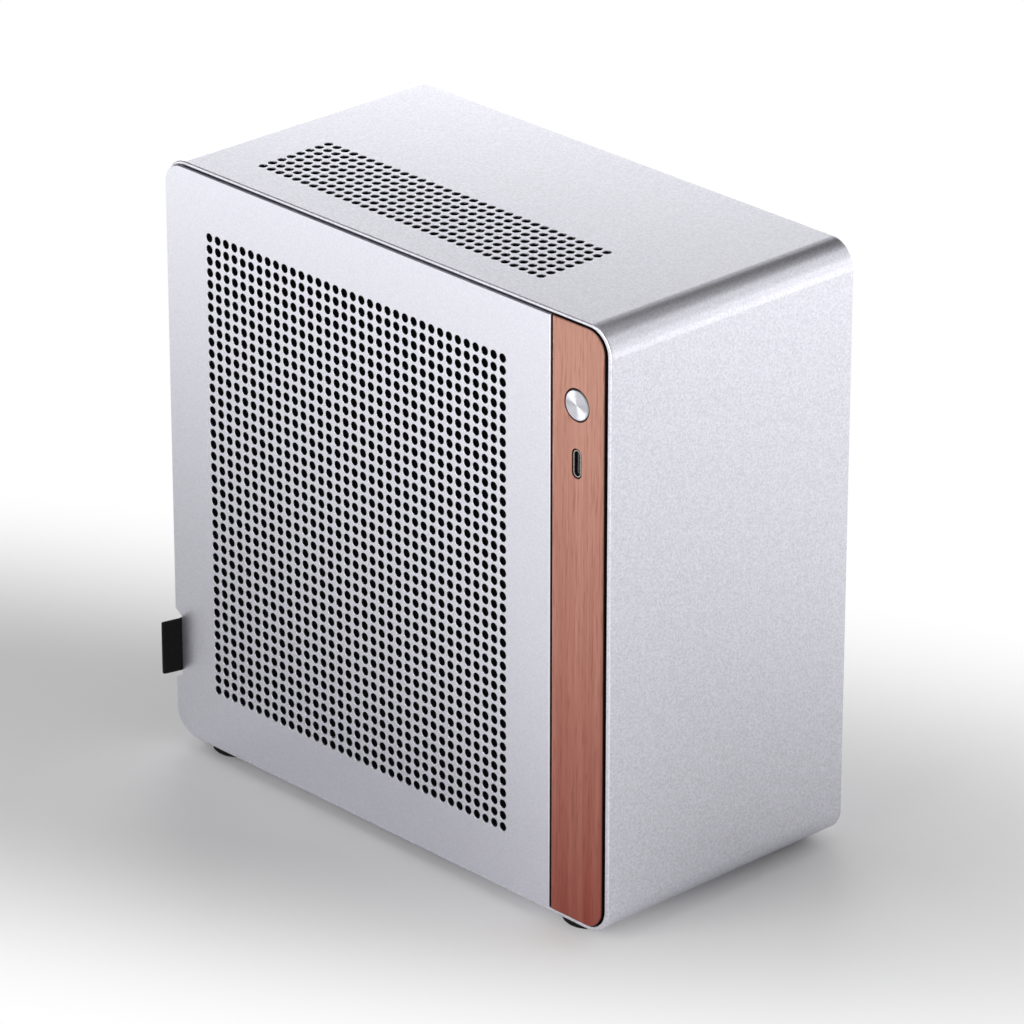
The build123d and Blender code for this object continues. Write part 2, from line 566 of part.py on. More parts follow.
CPU_S = 37.5
SOCKET_H = 3.0
POCKET = 1.5
LID_H = 2.4
socket = on_board(CPU_Y, CPU_Z, CPU_S + 8, CPU_S + 8, SOCKET_H)
socket -= box(XB - SOCKET_H - 1, XB - SOCKET_H + POCKET, CPU_Y - CPU_S / 2 - FIT, CPU_Y + CPU_S / 2 + FIT,
              CPU_Z - CPU_S / 2 - FIT, CPU_Z + CPU_S / 2 + FIT)
node("cpu_socket", socket)
cpu_x = XB - SOCKET_H + POCKET
lid_x = cpu_x - 1.2 - LID_H
cpu = box(cpu_x - 1.2, cpu_x, CPU_Y - CPU_S / 2, CPU_Y + CPU_S / 2, CPU_Z - CPU_S / 2, CPU_Z + CPU_S / 2)
cpu += box(lid_x, cpu_x - 1.2, CPU_Y - 15, CPU_Y + 15, CPU_Z - 15, CPU_Z + 15)
node("processor", cpu)

SLOT_YS = (BOARD_YF + 14.6, BOARD_YF + 5.1)
SLOT_Z = BOARD_ZB + 10 + SLOT_L / 2
STICK_SINK = 5.0
stick_x1 = XB - SLOT_H + STICK_SINK
stick_x0 = stick_x1 - STICK_H
slots, sticks = [], []
for y in SLOT_YS:
    one = on_board(y, SLOT_Z, SLOT_W, SLOT_L, SLOT_H)
    one += on_board(y, SLOT_Z + SLOT_L / 2 - 2, SLOT_W, 4, SLOT_H + 9)
    one += on_board(y, SLOT_Z - SLOT_L / 2 + 2, SLOT_W, 4, SLOT_H + 9)
    gap = STICK_T / 2 + FIT
    one -= box(XB - SLOT_H - 10, stick_x1, y - gap, y + gap,
               SLOT_Z - STICK_L / 2 - FIT, SLOT_Z + STICK_L / 2 + FIT)
    slots.append(one)
    stick = box(stick_x0, stick_x1, y - STICK_T / 2, y + STICK_T / 2,
                SLOT_Z - STICK_L / 2, SLOT_Z + STICK_L / 2)
    for k in range(8):
        z = SLOT_Z + (k - 3.5) * 15.5
        stick += box(stick_x0 + 7, stick_x0 + 18, y + STICK_T / 2, y + STICK_T / 2 + 1.0, z - 5, z + 5)
    sticks.append(stick)
node("memory_slots", *slots)
node("memory_sticks", *sticks)

card = on_board(BOARD_YR - 54, BOARD_ZB + 8, 89, 7.4, 11)
card -= box(XB - 12, XB - 3, BOARD_YR - 96.5, BOARD_YR - 11.5, BOARD_ZB + 7.2, BOARD_ZB + 8.8)
node("expansion_slot", card)
SSD_Y, SSD_Z = BOARD_YR - 104, BOARD_ZB + 51
ssd = on_board(SSD_Y, SSD_Z, 80, 22, 2.6) - on_board(SSD_Y - 3, SSD_Z, 70, 23, 1.8)
ssd += [box(XB - 4.4, XB - 2.6, SSD_Y + s - 7, SSD_Y + s + 7, SSD_Z - 8, SSD_Z + 8) for s in (-26, -6, 16)]
node("solid_state_drive", ssd)
SINK_Y, SINK_Z = BOARD_YR - 41, BOARD_ZB + 52
sink = on_board(SINK_Y, SINK_Z, 36, 36, 3)
sink += [box(XB - 9, XB - 3, SINK_Y - 18 + 4.85 * k, SINK_Y - 16.1 + 4.85 * k, SINK_Z - 18, SINK_Z + 18)
         for k in range(8)]
VRM_Y, VRM_Z = BOARD_YR - 25.5, BOARD_ZT - 46
vrm = on_board(VRM_Y, VRM_Z, 11, 62, 4)
vrm += [box(XB - 15, XB - 4, VRM_Y - 5.5, VRM_Y + 5.5, VRM_Z - 31 + 5.0 * k, VRM_Z - 29 + 5.0 * k)
        for k in range(13)]
node("board_heatsinks", sink, vrm)
node("board_parts", *[on_board(CPU_Y + 36, CPU_Z + 8 * k, 6.5, 6.5, 4.5) for k in range(-2, 3)],
     *[rod_x(XB - 7.5, XB, CPU_Y - 38 + 9 * k, BOARD_ZT - 4.5, 5.5) for k in range(7)],
     rod_x(XB - 3.2, XB, BOARD_YR - 116, BOARD_ZB + 16, 20.0))

ATX_Y, ATX_Z = BOARD_YF + 27.6, CPU_Z - 15
EPS_Y, EPS_Z = BOARD_YR - 40, BOARD_ZT - 4.6
PANEL_Y, PANEL_Z = BOARD_YF + 21.6, BOARD_ZB + 5
SOCKET_TALL = 12.0
HEADER_H = 6.0
node("power_sockets", on_board(ATX_Y, ATX_Z, 8.8, 51.6, SOCKET_TALL),
     on_board(EPS_Y, EPS_Z, 17.2, 8.8, SOCKET_TALL), on_board(PANEL_Y, PANEL_Z, 10, 5, HEADER_H))

# Rear ports: (place below the board's top edge, width along Z, height, kind)
PORTS = ((22.5, 13.2, 15.6, "usb"), (38.5, 15.2, 6.2, "flat"), (56.0, 16.6, 6.6, "flat"),
         (74.0, 13.2, 15.6, "usb"), (92.0, 16.2, 13.6, "net"), (109.5, 9.2, 3.6, "flat"),
         (126.5, 13.2, 15.6, "usb"), (147.0, 12.6, 33.0, "audio"))
JACK_STEP = 11.0         # three audio jacks, one on the other, each a block of its own
PORT_FACE = PLATE_Y + SHEET - FIT
PORT_BACK = BOARD_YR - 16
port_boxes, port_cores, shield_cuts = [], [], []
for down, wide, high, kind in PORTS:
    z = BOARD_ZT - down
    x0 = XB - high
    can = box(x0, XB, PORT_BACK, PORT_FACE, z - wide / 2, z + wide / 2)
    shield_cuts.append(rect(x0 - 0.4, XB + 0.4, z - wide / 2 - 0.4, z + wide / 2 + 0.4))
    if kind == "usb":
        for x in (x0 + 4.2, x0 + 11.2):
            can -= box(x - 2.6, x + 2.6, PORT_FACE - 12, PORT_FACE + 1, z - 6.0, z + 6.0)
            port_cores.append(box(x + 0.2, x + 2.2, PORT_FACE - 12, PORT_FACE - 0.8, z - 5.4, z + 5.4))
    elif kind == "flat":
        can -= box(x0 + 0.6, XB - 0.6, PORT_FACE - 10, PORT_FACE + 1, z - wide / 2 + 0.6, z + wide / 2 - 0.6)
        mid = XB - high / 2
        port_cores.append(box(mid - 0.5, mid + 0.5, PORT_FACE - 10, PORT_FACE - 0.8,
                              z - wide / 2 + 2.0, z + wide / 2 - 2.0))
    elif kind == "net":
        can -= box(x0 + 1.4, XB - 2.4, PORT_FACE - 12, PORT_FACE + 1, z - wide / 2 + 2.0, z + wide / 2 - 2.0)
    else:
        jacks = [box(x0 + JACK_STEP * k, x0 + JACK_STEP * (k + 1), PORT_BACK, PORT_FACE, z - wide / 2, z + wide / 2)
                 for k in range(3)]
        port_boxes += [jack - rod_y(PORT_FACE - 12, PORT_FACE + 1, x0 + JACK_STEP * (k + 0.5), z, 3.6)
                       for k, jack in enumerate(jacks)]
        continue
    port_boxes.append(can)
node("rear_ports", *port_boxes)
node("port_cores", *port_cores)
shield = rect(IO_X0 - 2.0, IO_X1 + 2.0, IO_ZC - IO_L / 2 - 2, IO_ZC + IO_L / 2 + 2)
for cut in shield_cuts:
    shield -= cut
node("port_shield", xz_plate(shield, PLATE_Y - 0.4, PLATE_Y))

# Processor cooler
base_x = lid_x - BASE_H
fin_x = base_x - 3.0
fan_x = fin_x - FIN_H
BRACKET_X = lid_x - 3.6
node("cooler_base", box(base_x, lid_x, CPU_Y - BASE_S / 2, CPU_Y + BASE_S / 2,
                        CPU_Z - BASE_S / 2, CPU_Z + BASE_S / 2))
fin_n = int((FIN_S - FIN_T) / FIN_PITCH)
fin_step = (FIN_S - FIN_T) / fin_n
comb = [(fin_x, 0.0)]
for k in range(fin_n + 1):
    at = k * fin_step
    comb += [(fan_x, at), (fan_x, at + FIN_T), (fin_x, at + FIN_T), (fin_x, at + fin_step)]
comb = comb[:-1] + [(base_x, FIN_S), (base_x, 0.0)]
profile = make_face(Polyline(*[(x, CPU_Y - FIN_S / 2 + y) for x, y in comb], close=True))
node("cooler_fins", extrude(Plane.XY.offset(CPU_Z - FIN_S / 2) * profile, FIN_S))
arm_end = BOLT_SQUARE / 2 * 2 ** 0.5
arm = [Rot(0, 0, 45 + 90 * k) * rect(BASE_S / 2 + 3, arm_end, -3.5, 3.5) for k in range(4)]
eyes = [Pos(i * BOLT_SQUARE / 2, j * BOLT_SQUARE / 2) * Circle(4.5) for i in (-1, 1) for j in (-1, 1)]
strap = (Rectangle(BASE_S + 8, BASE_S + 8) + arm + eyes) - Rectangle(BASE_S, BASE_S)
strap -= [Pos(i * BOLT_SQUARE / 2, j * BOLT_SQUARE / 2) * Circle(1.7) for i in (-1, 1) for j in (-1, 1)]
node("cooler_bracket", yz_plate(Pos(CPU_Y, CPU_Z) * strap, BRACKET_X - 1.5, BRACKET_X))
node("cooler_screws", *[screw(Plane((BRACKET_X - 1.5, y, z), z_dir=(-1, 0, 0)), 6.0, 1.8, 3.0,
                              XB + BOARD_T + 3.0 - BRACKET_X + 1.5) for y, z in bolts])
fan_plane = Plane((fan_x, CPU_Y, CPU_Z), x_dir=(0, 1, 0), z_dir=(-1, 0, 0))
FAN_BORE = FAN_S - 3.5
FAN_HUB = 36.0
node("cooler_fan_frame", fan_frame(FAN_S, FAN_T, FAN_BORE, FAN_HUB + 2, FAN_HOLES, 4.3, fan_plane))
rotor_t = FAN_T - 4.0
rotor_plane = fan_plane.offset(2.4 + rotor_t / 2)
node("cooler_fan_rotor", fan_rotor(FAN_HUB, FAN_BORE - 2.4, rotor_t, 9, 34, rotor_plane))

# Power supply: open case and cover, circuit, inlet, switch, fan, finger guard
w = PSU_WALL
case = box(PSU_X0 + w, PSU_X1, PSU_Y0, PSU_Y1, PSU_Z0, PSU_Z1)
case -= box(PSU_X0, PSU_X1 - w, PSU_Y0 + w, PSU_Y1 - w, PSU_Z0 + w, PSU_Z1 - w)
for cut in (inlet_cut, rocker_cut, fan_cut, *screw_cuts):
    case -= xz_plate(cut, PSU_Y1 - 2 * w, PSU_Y1 + 1)
slit_n = int((PSU_H - 14) / 6)
case -= [box(PSU_X0 + 8, PSU_XC - 4, PSU_Y0 - 1, PSU_Y0 + 2, PSU_Z0 + 7 + 6 * k, PSU_Z0 + 10 + 6 * k)
         for k in range(slit_n)]
CABLE_X = PSU_X1 - 10
ATX_OUT_Z, EPS_OUT_Z = PSU_Z0 + 62, PSU_Z0 + 40
case -= [rod_y(PSU_Y0 - 1, PSU_Y0 + 2, CABLE_X, ATX_OUT_Z, 10.4),
         rod_y(PSU_Y0 - 1, PSU_Y0 + 2, CABLE_X, EPS_OUT_Z, 6.9)]
BOSS = 2.5
boss_places = [(y, z) for y in (PSU_Y0 + 12, PSU_Y1 - PSU_FAN_T - 22) for z in (PSU_Z0 + 8, PSU_Z1 - 8)]
case += [rod_x(PSU_X1 - w - BOSS, PSU_X1 - w, y, z, 6.0) for y, z in boss_places]
node("psu_case", case)
node("psu_cover", box(PSU_X0, PSU_X0 + w, PSU_Y0, PSU_Y1, PSU_Z0, PSU_Z1))
psu_pcb = PSU_X1 - w - BOSS
psu_y0, psu_y1 = PSU_Y0 + 7, PSU_Y1 - PSU_FAN_T - 14
psu_board = box(psu_pcb - BOARD_T, psu_pcb, psu_y0, psu_y1, PSU_Z0 + 3, PSU_Z1 - 3)
top = psu_pcb - BOARD_T
coils = [box(top - 26, top, psu_y0 + 38, psu_y0 + 64, PSU_Z0 + 10, PSU_Z0 + 42),
         box(top - 18, top, psu_y0 + 74, psu_y0 + 94, PSU_Z0 + 12, PSU_Z0 + 34),
         rod_x(top - 14, top, psu_y0 + 52, PSU_Z0 + 60, 24.0)]
cans = [rod_x(top - 30, top, psu_y0 + 88, PSU_Z0 + z, 20.0) for z in (48, 69)]
cans += [rod_x(top - 20, top, psu_y0 + 14 + 13 * k, PSU_Z0 + 24, 10.0) for k in range(2)]
node("psu_circuit", psu_board + coils + cans)
rear_out = PLATE_Y + SHEET
inlet = box(PSU_XC - INLET_W / 2, PSU_XC + INLET_W / 2, PSU_Y1 - 18, rear_out, INLET_Z - INLET_H / 2,
            INLET_Z + INLET_H / 2)
inlet += box(PSU_XC - INLET_W / 2 - 1.6, PSU_XC + INLET_W / 2 + 1.6, rear_out, rear_out + 1.2,
             INLET_Z - INLET_H / 2 - 1.4, INLET_Z + INLET_H / 2 + 1.4)
cave = make_face(Polyline((-12, -8), (12, -8), (12, 3.5), (7.5, 8), (-7.5, 8), (-12, 3.5), close=True))
inlet -= xz_plate(Pos(PSU_XC, INLET_Z) * cave, PSU_Y1 - 16, rear_out + 2)
node("mains_inlet", inlet)
node("inlet_pins", *[box(PSU_XC + a - 1, PSU_XC + a + 1, PSU_Y1 - 16, rear_out - 2,
                         INLET_Z + b - 2, INLET_Z + b + 2) for a, b in ((-7, -1.5), (0, 2), (7, -1.5))])
mouth = Rectangle(ROCKER_W - 1.6, ROCKER_H - 1.6)
bezel = Pos(PSU_XC, ROCKER_Z) * (Rectangle(ROCKER_W, ROCKER_H) - mouth)
lip = Pos(PSU_XC, ROCKER_Z) * (Rectangle(ROCKER_W + 2, ROCKER_H + 2) - mouth)
back_wall = Pos(PSU_XC, ROCKER_Z) * Rectangle(ROCKER_W, ROCKER_H)
rocker_frame = xz_plate(bezel, PSU_Y1 - 8, rear_out) + xz_plate(lip, rear_out, rear_out + 0.8)
node("rocker_frame", rocker_frame + xz_plate(back_wall, PSU_Y1 - 10, PSU_Y1 - 8))
HALF = ROCKER_W / 2 - 0.8 - 0.45
ROCKER_TILT = 7.0
wedge = make_face(Polyline((-HALF, 0.35), (0, -0.65), (HALF, 0.35), (HALF - 1.0, -3.6),
                           (-HALF + 1.0, -3.6), close=True))
rocker = extrude(Rot(0, 0, ROCKER_TILT) * wedge, ROCKER_H - 1.6 - 2 * FIT)
node("psu_rocker", Pos(PSU_XC, rear_out, ROCKER_Z - ROCKER_H / 2 + 0.8 + FIT) * rocker)
psu_fan_plane = Plane((PSU_XC, PSU_Y1 - w - PSU_FAN_T, PSU_FAN_Z), x_dir=(1, 0, 0), z_dir=(0, 1, 0))
PSU_BORE = PSU_FAN - 2.4
node("psu_fan_frame", fan_frame(PSU_FAN - 1, PSU_FAN_T, PSU_BORE - 0.6, 24, PSU_FAN_HOLES, 3.6,
                                psu_fan_plane))
psu_rotor_t = PSU_FAN_T - 5.0
psu_rotor_plane = psu_fan_plane.offset(2.6 + psu_rotor_t / 2)
node("psu_fan_rotor", fan_rotor(22, PSU_BORE - 2.6, psu_rotor_t, 7, 34, psu_rotor_plane))
WIRE = 1.2
guard_rs = (PSU_FAN / 2 - 2.5, PSU_FAN / 2 - 7.5, PSU_FAN / 2 - 12.5)
flat = sum((Circle(r + WIRE / 2) - Circle(r - WIRE / 2) for r in guard_rs), Sketch())
leg_end = SCREW_E * 2 ** 0.5
legs = [Rot(0, 0, 45 + 90 * k) * rect(guard_rs[-1], leg_end, -WIRE / 2, WIRE / 2) for k in range(4)]
corners = [Pos(i * SCREW_E, j * SCREW_E) for i in (-1, 1) for j in (-1, 1)]
flat = flat + legs + [at * Circle(2.6) for at in corners] - [at * Circle(1.7) for at in corners]
guard_out = rear_out + WIRE * 0.6
node("finger_guard", xz_plate(Pos(PSU_XC, PSU_FAN_Z) * flat, rear_out, guard_out))
node("psu_screws", *[screw(Plane((x, guard_out, z), z_dir=(0, 1, 0)), 4.8, 0.6, 3.0, 14)
                     for x, z in PSU_SCREWS])

# Cables inside, each with its plug
PLUG = 11.0
plug_x = XB - SOCKET_TALL - PLUG
turn = PSU_Y0 - 14
atx = wire_run([(CABLE_X, PSU_Y0, ATX_OUT_Z), (CABLE_X, turn, ATX_OUT_Z), (CABLE_X, turn, ATX_Z),
                (CABLE_X + 15, ATX_Y, ATX_Z), (plug_x, ATX_Y, ATX_Z)], 9.6, 9.0)
atx += on_board(ATX_Y, ATX_Z, 8.6, 51.4, PLUG).moved(Location((-SOCKET_TALL, 0, 0)))
node("main_cable", atx)
turn = PSU_Y0 - 26
eps = wire_run([(CABLE_X, PSU_Y0, EPS_OUT_Z), (CABLE_X, turn, EPS_OUT_Z), (CABLE_X, turn, EPS_Z),
                (CABLE_X, EPS_Y, EPS_Z), (plug_x, EPS_Y, EPS_Z)], 6.0, 9.0)
eps += on_board(EPS_Y, EPS_Z, 17, 8.6, PLUG).moved(Location((-SOCKET_TALL, 0, 0)))
node("processor_cable", eps)
FRONT_PLUG = 8.0
board_back = SWITCH_BOARD_X + 1.2
down_x = board_back + 10
tail_z = BUTTON_Z - HOUSING_D / 2 - 1
plug_x = XB - HEADER_H - FRONT_PLUG
front = wire_run([(board_back, BUTTON_Y, tail_z), (down_x, BUTTON_Y, tail_z), (down_x, BUTTON_Y, PANEL_Z),
                  (plug_x - 8, BUTTON_Y, PANEL_Z), (plug_x - 8, PANEL_Y, PANEL_Z), (plug_x, PANEL_Y, PANEL_Z)],
                 3.0, 6.0)
front += on_board(PANEL_Y, PANEL_Z, 9.6, 4.8, FRONT_PLUG).moved(Location((-HEADER_H, 0, 0)))
node("front_cable", front)

os.makedirs("parts", exist_ok=True)
for name, piece in NODES.items():
    export_step(piece, f"parts/{name}.step")
print(len(NODES), "nodes")
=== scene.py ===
# %% [markdown]
# # Dressing a compact desktop tower
# The real object is a small aluminium computer case: one sheet wraps over the top, the front and
# the bottom, a perforated panel closes each side, and a wood strip holds the button and the port.
# All hard shapes come from the CAD frame in metres, +Z up and the front towards -Y. This lesson
# gives every piece its finish, sews the two pull tags, and builds a plain studio round it.

# %% The frame and its size
import math

import bpy
import numpy as np
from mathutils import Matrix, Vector


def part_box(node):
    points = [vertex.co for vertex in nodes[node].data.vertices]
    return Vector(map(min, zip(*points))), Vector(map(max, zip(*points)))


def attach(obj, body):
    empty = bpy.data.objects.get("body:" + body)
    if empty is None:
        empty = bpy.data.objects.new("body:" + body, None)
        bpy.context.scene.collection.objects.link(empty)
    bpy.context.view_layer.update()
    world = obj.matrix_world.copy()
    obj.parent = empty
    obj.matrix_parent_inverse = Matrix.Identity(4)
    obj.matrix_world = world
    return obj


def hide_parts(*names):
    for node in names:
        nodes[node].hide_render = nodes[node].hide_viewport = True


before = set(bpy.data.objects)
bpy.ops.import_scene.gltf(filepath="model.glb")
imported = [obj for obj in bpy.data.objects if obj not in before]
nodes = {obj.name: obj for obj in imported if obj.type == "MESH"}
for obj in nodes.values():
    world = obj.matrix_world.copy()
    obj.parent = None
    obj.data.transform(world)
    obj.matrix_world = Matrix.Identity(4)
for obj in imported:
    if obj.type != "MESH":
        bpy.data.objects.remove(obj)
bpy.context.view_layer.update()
MM = 0.001
WAVE = 2 * math.pi / 20      # a Wave texture of scale WAVE / step repeats every step

# %% [markdown]
# ## Tools for finishes
# Colours are read off as sRGB hex values, but the renderer adds up linear light, so one function
# turns the one into the other. A second small function adds a shader node with its settings and
# links. Every pattern is then a short list of such calls, with its scale worked out from a size
# in millimetres: a noise of scale 1 / size has features about that size across.


# %% Colour, node and material helpers
def linear(code):
    """Linear RGBA of an sRGB hex: c / 12.92 below 0.04045, else ((c + 0.055) / 1.055) to the power 2.4."""
    c = np.array([int(code[i:i + 2], 16) for i in (1, 3, 5)]) / 255
    c = np.where(c <= 0.04045, c / 12.92, ((c + 0.055) / 1.055) ** 2.4)
    return (*c.tolist(), 1.0)


def add(tree, kind, inputs=None, stops=(), **settings):
    """Add one node: settings are its properties, inputs its values or the sockets that feed it."""
    node = tree.nodes.new("ShaderNode" + kind)
    for name, value in settings.items():
        setattr(node, name, value)
    for name, value in (inputs or {}).items():
        if isinstance(value, bpy.types.NodeSocket):
            tree.links.new(value, node.inputs[name])
        else:
            node.inputs[name].default_value = value
    for k, (place, colour) in enumerate(stops):
        marks = node.color_ramp.elements
        mark = marks[k] if k < 2 else marks.new(place)
        mark.position, mark.color = place, linear(colour)
    return node


def new_finish(name, **constants):
    """A material with one Principled shader; constants go straight to the shader's sockets."""
    material = bpy.data.materials.new(name)
    material.use_nodes = True
    tree = material.node_tree
    tree.nodes.clear()
    shader = add(tree, "BsdfPrincipled", constants)
    add(tree, "OutputMaterial", {"Surface": shader.outputs["BSDF"]})
    place = add(tree, "TexCoord").outputs["Object"]
    return material, tree, shader, place


def paint(material, *names):
    """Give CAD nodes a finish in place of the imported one."""
    for name in names:
        nodes[name].data.materials.clear()
        nodes[name].data.materials.append(material)


# %% [markdown]
# ## Bead-blasted, clear-anodised aluminium
# Glass beads leave the sheet covered in tiny dents. Light scatters a little at each one, so the
# metal is matt with a fine sparkle, slightly cool from the anodising. A grain of noise moves the
# colour, the roughness and the bump together. Real dents are about 0.1 mm; they are drawn six or
# seven times as large, since finer ones would be lost between the pixels. The thick wrap was
# blasted harder than the thin panels. Blasting also takes the burr off every cut edge: a Bevel
# node bends the normals near an edge, so each punched hole gets its small bright rounding without
# a single extra face.

# %% Blasted aluminium on the shell and the side panels
BLASTS = {
    # name: (grain in mm, dark, light, bump strength, pieces)
    "blasted_anodised_aluminium": (0.7, "#cfcfd7", "#ecebf4", 0.24, ("shell",)),
    "fine_blasted_aluminium": (0.6, "#d9d9e1", "#e6e5ee", 0.12, ("left_panel", "right_panel")),
}
BLAST_SMOOTH, BLAST_DULL = 0.30, 0.40
DENT_DEPTH = 0.05 * MM
EDGE_ROUND = 0.3 * MM
for name, (size, dark, light, strength, pieces) in BLASTS.items():
    blasted, tree, shader, place = new_finish(name, Metallic=1.0)
    grain = add(tree, "TexNoise", {"Vector": place, "Scale": 1 / size / MM,
                                   "Detail": 2.0, "Roughness": 0.6})
    tone = add(tree, "ValToRGB", {"Fac": grain.outputs["Fac"]}, stops=((0.30, dark), (0.70, light)))
    rough = add(tree, "MapRange", {"Value": grain.outputs["Fac"],
                                   "To Min": BLAST_SMOOTH, "To Max": BLAST_DULL})
    edge = add(tree, "Bevel", {"Radius": EDGE_ROUND}, samples=6)
    dents = add(tree, "Bump", {"Height": grain.outputs["Fac"], "Strength": strength,
                               "Distance": DENT_DEPTH, "Normal": edge.outputs["Normal"]})
    tree.links.new(tone.outputs["Color"], shader.inputs["Base Color"])
    tree.links.new(rough.outputs["Result"], shader.inputs["Roughness"])
    tree.links.new(dents.outputs["Normal"], shader.inputs["Normal"])
    paint(blasted, *pieces)
    print(name, "grain", size, "mm, edges rounded by", EDGE_ROUND / MM, "mm")

# %% [markdown]
# ## Spun aluminium
# The button's face was turned on a lathe. The tool leaves rings, and rings stretch a reflection
# across them into two bright fans. Fine ring bumps alone would flicker at this size, so the
# shader's anisotropy follows a tangent that runs round the button's axis, and a faint ring
# pattern is added on top.

# %% Spun aluminium on the button
cap_low, cap_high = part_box("button_cap")
cap_axis = (cap_low + cap_high) / 2
RING_STEP, RING_DEPTH = 0.4 * MM, 0.03 * MM
spun, tree, shader, place = new_finish("spun_aluminium", Metallic=1.0, Roughness=0.40,
                                       Anisotropic=0.98)
about = add(tree, "Mapping", {"Vector": place, "Location": (0.0, -cap_axis.y, -cap_axis.z)})
rings = add(tree, "TexWave", {"Vector": about.outputs["Vector"], "Scale": WAVE / RING_STEP,
                              "Distortion": 0.6, "Detail": 1.0},
            wave_type="RINGS", rings_direction="X")
tone = add(tree, "ValToRGB", {"Fac": rings.outputs["Fac"]},
           stops=((0.0, "#c6c7ce"), (1.0, "#e6e6ec")))
lathe = add(tree, "Bump", {"Height": rings.outputs["Fac"], "Strength": 0.2, "Distance": RING_DEPTH})
round_axis = add(tree, "Tangent", direction_type="RADIAL", axis="X")
tree.links.new(tone.outputs["Color"], shader.inputs["Base Color"])
tree.links.new(lathe.outputs["Normal"], shader.inputs["Normal"])
tree.links.new(round_axis.outputs["Tangent"], shader.inputs["Tangent"])
paint(spun, "button_cap")
print("spun rings every", RING_STEP / MM, "mm")

# %% [markdown]
# ## Oiled reddish wood
# The strip is a slice of reddish hardwood with its grain upright. Grain is noise pulled out along
# Z: fibres a millimetre wide and several centimetres long. Three layers are mixed: broad bands of
# tone, fine fibres, and short dark pores. The tone also drifts along Z, darker and redder at the
# foot and paler at the top: painted shade at the foot and a painted sheen at the top. The sawn
# sides are coloured near black, a painted shade that makes the gap round the strip read as a
# black line. A thin oil leaves a soft sheen.

# %% Wood on the strip
wood, tree, shader, place = new_finish("oiled_red_hardwood", Roughness=0.42)
strip_low, strip_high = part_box("wood_strip")
# name: (mm across, mm along, detail)
LAYERS = {"bands": (4.0, 160.0, 2.0), "fibres": (0.9, 40.0, 3.0), "pores": (0.6, 9.0, 1.0)}
# Painted light: the drift paints shade at the strip's foot and a sheen at its top.
PAINTED_SHADE_FOOT, PAINTED_SHEEN_TOP = -0.2, 0.7      # of the drift, before the bands are added
BANDS_SHARE, FIBRES_SHARE, PORES_SHARE = 0.5, 0.8, 0.8
# Painted shade: the sawn sides turn near black from this depth behind the strip's face.
PAINTED_SIDE_SHADE_FROM, PAINTED_SIDE_SHADE_FULL = 0.25 * MM, 0.55 * MM      # behind the strip's face
FURROW_DEPTH = 0.1 * MM
made = {}
for name, (across, along, detail) in LAYERS.items():
    pulled = add(tree, "Mapping", {"Vector": place,
                                   "Scale": (1 / across / MM, 1 / across / MM, 1 / along / MM)})
    made[name] = add(tree, "TexNoise", {"Vector": pulled.outputs["Vector"], "Scale": 1.0,
                                        "Detail": detail}).outputs["Fac"]
axes = add(tree, "SeparateXYZ", {"Vector": place}).outputs
height = add(tree, "MapRange", {"Value": axes["Z"], "From Min": strip_low.z, "From Max": strip_high.z,
                                "To Min": PAINTED_SHADE_FOOT, "To Max": PAINTED_SHEEN_TOP})
# Real bands of tone, plus the painted shade and painted sheen of the drift along Z.
bands_and_painted_light = add(tree, "Math", {0: made["bands"], 1: BANDS_SHARE, 2: height.outputs["Result"]},
            operation="MULTIPLY_ADD")
# The ramp's dark red end is painted shade, its pale end a painted sheen.
bands_and_painted_light_tone = add(tree, "ValToRGB", {"Fac": bands_and_painted_light.outputs["Value"]},
            stops=((0.0, "#882d18"), (0.85, "#cc9481")))
thread = add(tree, "ValToRGB", {"Fac": made["fibres"]},
             stops=((0.30, "#e6d8d0"), (0.70, "#ffffff")))
pore = add(tree, "ValToRGB", {"Fac": made["pores"]}, stops=((0.30, "#e2cdc3"), (0.44, "#ffffff")))
fibred = add(tree, "Mix", {0: FIBRES_SHARE, 6: bands_and_painted_light_tone.outputs["Color"], 7: thread.outputs["Color"]},
             data_type="RGBA", blend_type="MULTIPLY")
pored = add(tree, "Mix", {0: PORES_SHARE, 6: fibred.outputs[2], 7: pore.outputs["Color"]},
            data_type="RGBA", blend_type="MULTIPLY")
# Painted shade on the sawn sides: near black, for the shaded gap round the strip.
depth = add(tree, "MapRange", {"Value": axes["X"], "From Min": strip_low.x + PAINTED_SIDE_SHADE_FROM,
                               "From Max": strip_low.x + PAINTED_SIDE_SHADE_FULL})
painted_side_shade = add(tree, "Mix", {0: depth.outputs["Result"], 6: pored.outputs[2], 7: linear("#1a0a07")},
              data_type="RGBA")
furrow = add(tree, "Bump", {"Height": made["fibres"], "Strength": 0.12, "Distance": FURROW_DEPTH})
tree.links.new(painted_side_shade.outputs[2], shader.inputs["Base Color"])
tree.links.new(furrow.outputs["Normal"], shader.inputs["Normal"])
paint(wood, "wood_strip")
print("wood layers (mm across, mm along, detail):", LAYERS)

# %% [markdown]
# ## Metals inside and at the rear
# Steel sheet is zinc-plated or powder-coated black. Plug shells are nickel-plated, spacers and
# mains pins brass, the cooler's base copper, its fins extruded aluminium. All of them share one
# recipe: a noise drawn out along one axis moves tone and roughness. A table holds each metal's
# colours, its grain size across and along, and its roughness.

